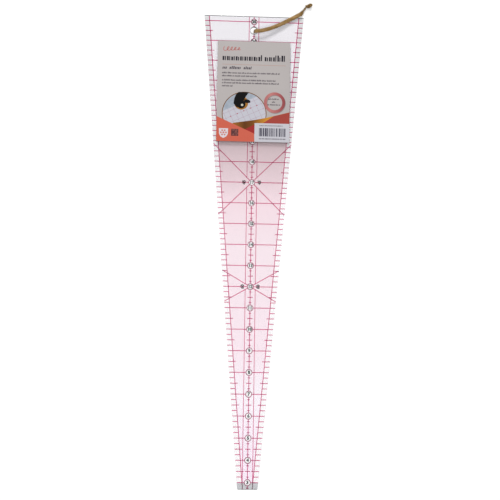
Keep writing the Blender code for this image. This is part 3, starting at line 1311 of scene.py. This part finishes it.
ROSE_TONES = (
    (0.0, paint(160, 96, 96)),
    (0.3, paint(178, 116, 112)),
    (0.7, paint(158, 88, 88)),
    (1.0, paint(132, 66, 68)),
)
foil_print = foil_material("foil_print", 13, 39, ROSE_TONES)
shadow_print = ink_material("shadow_print", paint(128, 118, 118), paint(136, 126, 125))
white_print = ink_material("white_print", paint(190, 184, 190), paint(200, 194, 198))
cell_print = ink_material("cell_print", paint(72, 44, 46), paint(88, 54, 54))
pale_cell_print = ink_material("pale_cell_print", paint(112, 68, 64), paint(126, 78, 72))
panel_print = ink_material("panel_print", paint(176, 175, 182), paint(183, 182, 188))
bar_print = ink_material("bar_print", paint(56, 54, 68), paint(70, 68, 80))


def print_badge():
    rng = random.Random(7)
    bm = bmesh.new()
    print_ring(bm, *(BADGE + BADGE_SHADOW), BADGE_RADIUS, BADGE_WIDTH, level=1, ink=1)
    print_ring(bm, *BADGE, BADGE_RADIUS, BADGE_WIDTH, level=4, ink=0)
    for start, end, base in BADGE_ROWS:
        print_line(bm, start, end, base, 1.4, rng, ink=2)
    return finish_mesh("label_badge", bm, [foil_print, shadow_print, grey_print])


def print_marks():
    rng = random.Random(11)
    bm = bmesh.new()
    print_outline(bm, SHIELD, level=7, ink=0)
    print_disc(bm, *FLOWER, HEART_RADIUS, level=8, ink=1, sides=16)
    for petal in range(PETALS):
        angle = math.tau * petal / PETALS
        place = FLOWER + FLOWER_REACH * Vector((math.cos(angle), math.sin(angle)))
        print_disc(bm, *place, PETAL_RADIUS, level=8, ink=1, sides=16)
    left, low, side = CELL_SQUARE
    square = ((left, low), (left + side, low), (left + side, low + side), (left, low + side))
    print_outline(bm, square, level=7, ink=2)
    cell = side / CELLS
    for row in range(CELLS):
        for column in range(CELLS):
            if rng.random() < PALE_CELLS:
                x, y = left + (column + 0.5) * cell, low + (row + 0.5) * cell
                print_stroke(bm, (x - cell / 2, y), (x + cell / 2, y), cell, level=8, ink=3)
    inks = [white_print, bright_coral_print, cell_print, pale_cell_print]
    return finish_mesh("label_marks", bm, inks)


def print_bar_code():
    rng = random.Random(19)
    bm = bmesh.new()
    print_outline(bm, PANEL, level=7, ink=0)
    x, end, low, high = BARS
    while x < end:
        width = rng.choice(BAR_WIDTHS)
        middle = x + width / 2
        print_stroke(bm, (middle, low), (middle, high), width, level=8, ink=1)
        x += width + rng.choice(BAR_GAPS)
    for x, end, base, height in PANEL_ROWS:
        y = base + height / 2
        while x < end:
            width = height * rng.uniform(0.5, 0.8)
            print_stroke(bm, (x, y), (x + width, y), height, level=8, ink=2)
            x += width + height * rng.uniform(0.3, 0.7)
    return finish_mesh("label_bar_code", bm, [panel_print, bar_print, grey_print])


label_badge = print_badge()
label_marks = print_marks()
label_bar_code = print_bar_code()
label_prints = [
    label_wording,
    label_bands,
    label_picture,
    label_badge,
    label_marks,
    label_bar_code,
]

# %% [markdown]
# ## The tapes
#
# Two strips of clear double-sided tape hold the label. They can only be seen from below, through
# the acrylic. Each was cut by the toothed edge of a dispenser, so its two ends are zigzags. The
# outline runs along one end, back along the other, and is extruded to the tape's thickness.

# %% Make the tapes
TEETH = 10
TOOTH_DEPTH = 0.9 * MM


def clear_tape_material():
    material, tree, shader = start_material("clear_tape", 0.3)
    shader.inputs["Transmission Weight"].default_value = 0.75
    shader.inputs["IOR"].default_value = 1.45
    coords = add_node(tree, "ShaderNodeTexCoord")
    bubbles = speckle(tree, coords, 240)
    tone = blend_colours(tree, bubbles, paint(226, 229, 226), paint(244, 245, 243))
    tree.links.new(tone, shader.inputs["Base Color"])
    add_bump(tree, shader, bubbles, 0.3, 0.05 * MM)
    return material


clear_tape = clear_tape_material()


def make_tape(name, node):
    """A strip with zigzag ends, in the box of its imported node."""
    low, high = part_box(node)
    bm = bmesh.new()
    outline = []
    for x, inward, upward in ((high.x, -1, 1), (low.x, 1, -1)):
        for tooth in range(2 * TEETH + 1):
            share = tooth / (2 * TEETH)
            y = low.y + (high.y - low.y) * (share if upward > 0 else 1 - share)
            outline.append((x + inward * TOOTH_DEPTH * (tooth % 2), y, low.z))
    bm.faces.new([bm.verts.new(place) for place in outline])
    raise_sheet(bm, high.z - low.z)
    return finish_mesh(name, bm, [clear_tape])


tape_upper = make_tape("tape_upper", "card_tape_upper")
tape_lower = make_tape("tape_lower", "card_tape_lower")

# %% [markdown]
# ## The floor and the light
#
# The ruler lies on a plain white sheet. A soft lamp stands beyond the wide end, a little to the
# left, and throws the tie's shadow. A bright ceiling fills the shadows in, and lights the sheet
# evenly as far as it goes. The surround is pale but gives hardly any light, because light that
# comes from all sides would be lost under the acrylic. The colours are shown as they are,
# without a film look, so that the white sheet stays white.

# %% Lay the floor
FLOOR_SIZE = 24
FLOOR_DROP = 0.06 * MM


def make_floor():
    material, tree, shader = start_material("white_paper", 0.85)
    coords = add_node(tree, "ShaderNodeTexCoord")
    grain = speckle(tree, coords, 900, detail=2)
    colour = blend_colours(tree, grain, paint(240, 240, 240), paint(244, 244, 244))
    tree.links.new(colour, shader.inputs["Base Color"])
    bm = bmesh.new()
    bmesh.ops.create_grid(bm, x_segments=4, y_segments=4, size=FLOOR_SIZE / 2)
    bmesh.ops.translate(bm, vec=(0, 0, -FLOOR_DROP), verts=bm.verts)
    return finish_mesh("floor", bm, [material])


floor = make_floor()

# %% Set up the light
LAMP_PLACE = Vector((-0.6, 3.4, 3.0))
LAMP_SIDE = 1.5
LAMP_POWER = 118
CEILING_PLACE = Vector((0, -1, 4))
CEILING_ANGLE = math.radians(64)
CEILING_STRENGTH = 2.72
SURROUND_STRENGTH = 0.05
BACKDROP_STRENGTH = 0.85


def add_light(name, kind, place, power):
    """A light that faces the middle of the ruler."""
    item = bpy.data.objects.new(name, bpy.data.lights.new(name, kind))
    scene.collection.objects.link(item)
    item.data.energy = power
    item.location = place
    item.rotation_euler = (-place).to_track_quat("-Z", "Y").to_euler()
    return item


def light_world():
    """A surround that is pale to look at and in mirrors, and adds next to no light of its own."""
    world = bpy.data.worlds.new("studio")
    world.use_nodes = True
    tree = world.node_tree
    background = tree.nodes["Background"]
    background.inputs["Color"].default_value = (1, 1, 1, 1)
    rays = add_node(tree, "ShaderNodeLightPath")
    seen = rays.outputs["Is Camera Ray"]
    strength = rescale(tree, seen, 0, 1, SURROUND_STRENGTH, BACKDROP_STRENGTH)
    tree.links.new(strength, background.inputs["Strength"])
    scene.world = world


soft_lamp = add_light("soft_lamp", "AREA", LAMP_PLACE, LAMP_POWER)
soft_lamp.data.size = LAMP_SIDE
bright_ceiling = add_light("bright_ceiling", "SUN", CEILING_PLACE, CEILING_STRENGTH)
bright_ceiling.data.angle = CEILING_ANGLE
bright_ceiling.visible_glossy = False
light_world()
# The acrylic already lets the lamps through, so their light mustn't be met again behind it.
scene.cycles.caustics_reflective = False
scene.cycles.caustics_refractive = False
scene.view_settings.view_transform = "Standard"
print("lights:", soft_lamp.name, bright_ceiling.name)

# %% [markdown]
# ## Joining the pieces to the frame
#
# Last, each piece is told which body it moves with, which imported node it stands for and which
# finish of the record it carries, and the ribbon is declared as a cord of its real length.

# %% Join the pieces to the frame
for piece, body, nodes, finish in (
    (hanging_ribbon, "hanging_tie", ["tie_ribbon"], "gold_ribbon"),
    (ribbon_knot, "hanging_tie", ["tie_knot"], "gold_ribbon"),
    (clear_blade, "ruler", ["acrylic_blade"], "clear_acrylic"),
    (printed_lines, "ruler", [], None),
    (printed_numbers, "ruler", [], None),
    (label_board, "ruler", ["label_card"], "printed_board"),
    (tape_upper, "ruler", ["card_tape_upper"], "clear_tape"),
    (tape_lower, "ruler", ["card_tape_lower"], "clear_tape"),
    *((piece, "ruler", [], None) for piece in label_prints),
):
    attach(piece, body)
    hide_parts(*nodes)
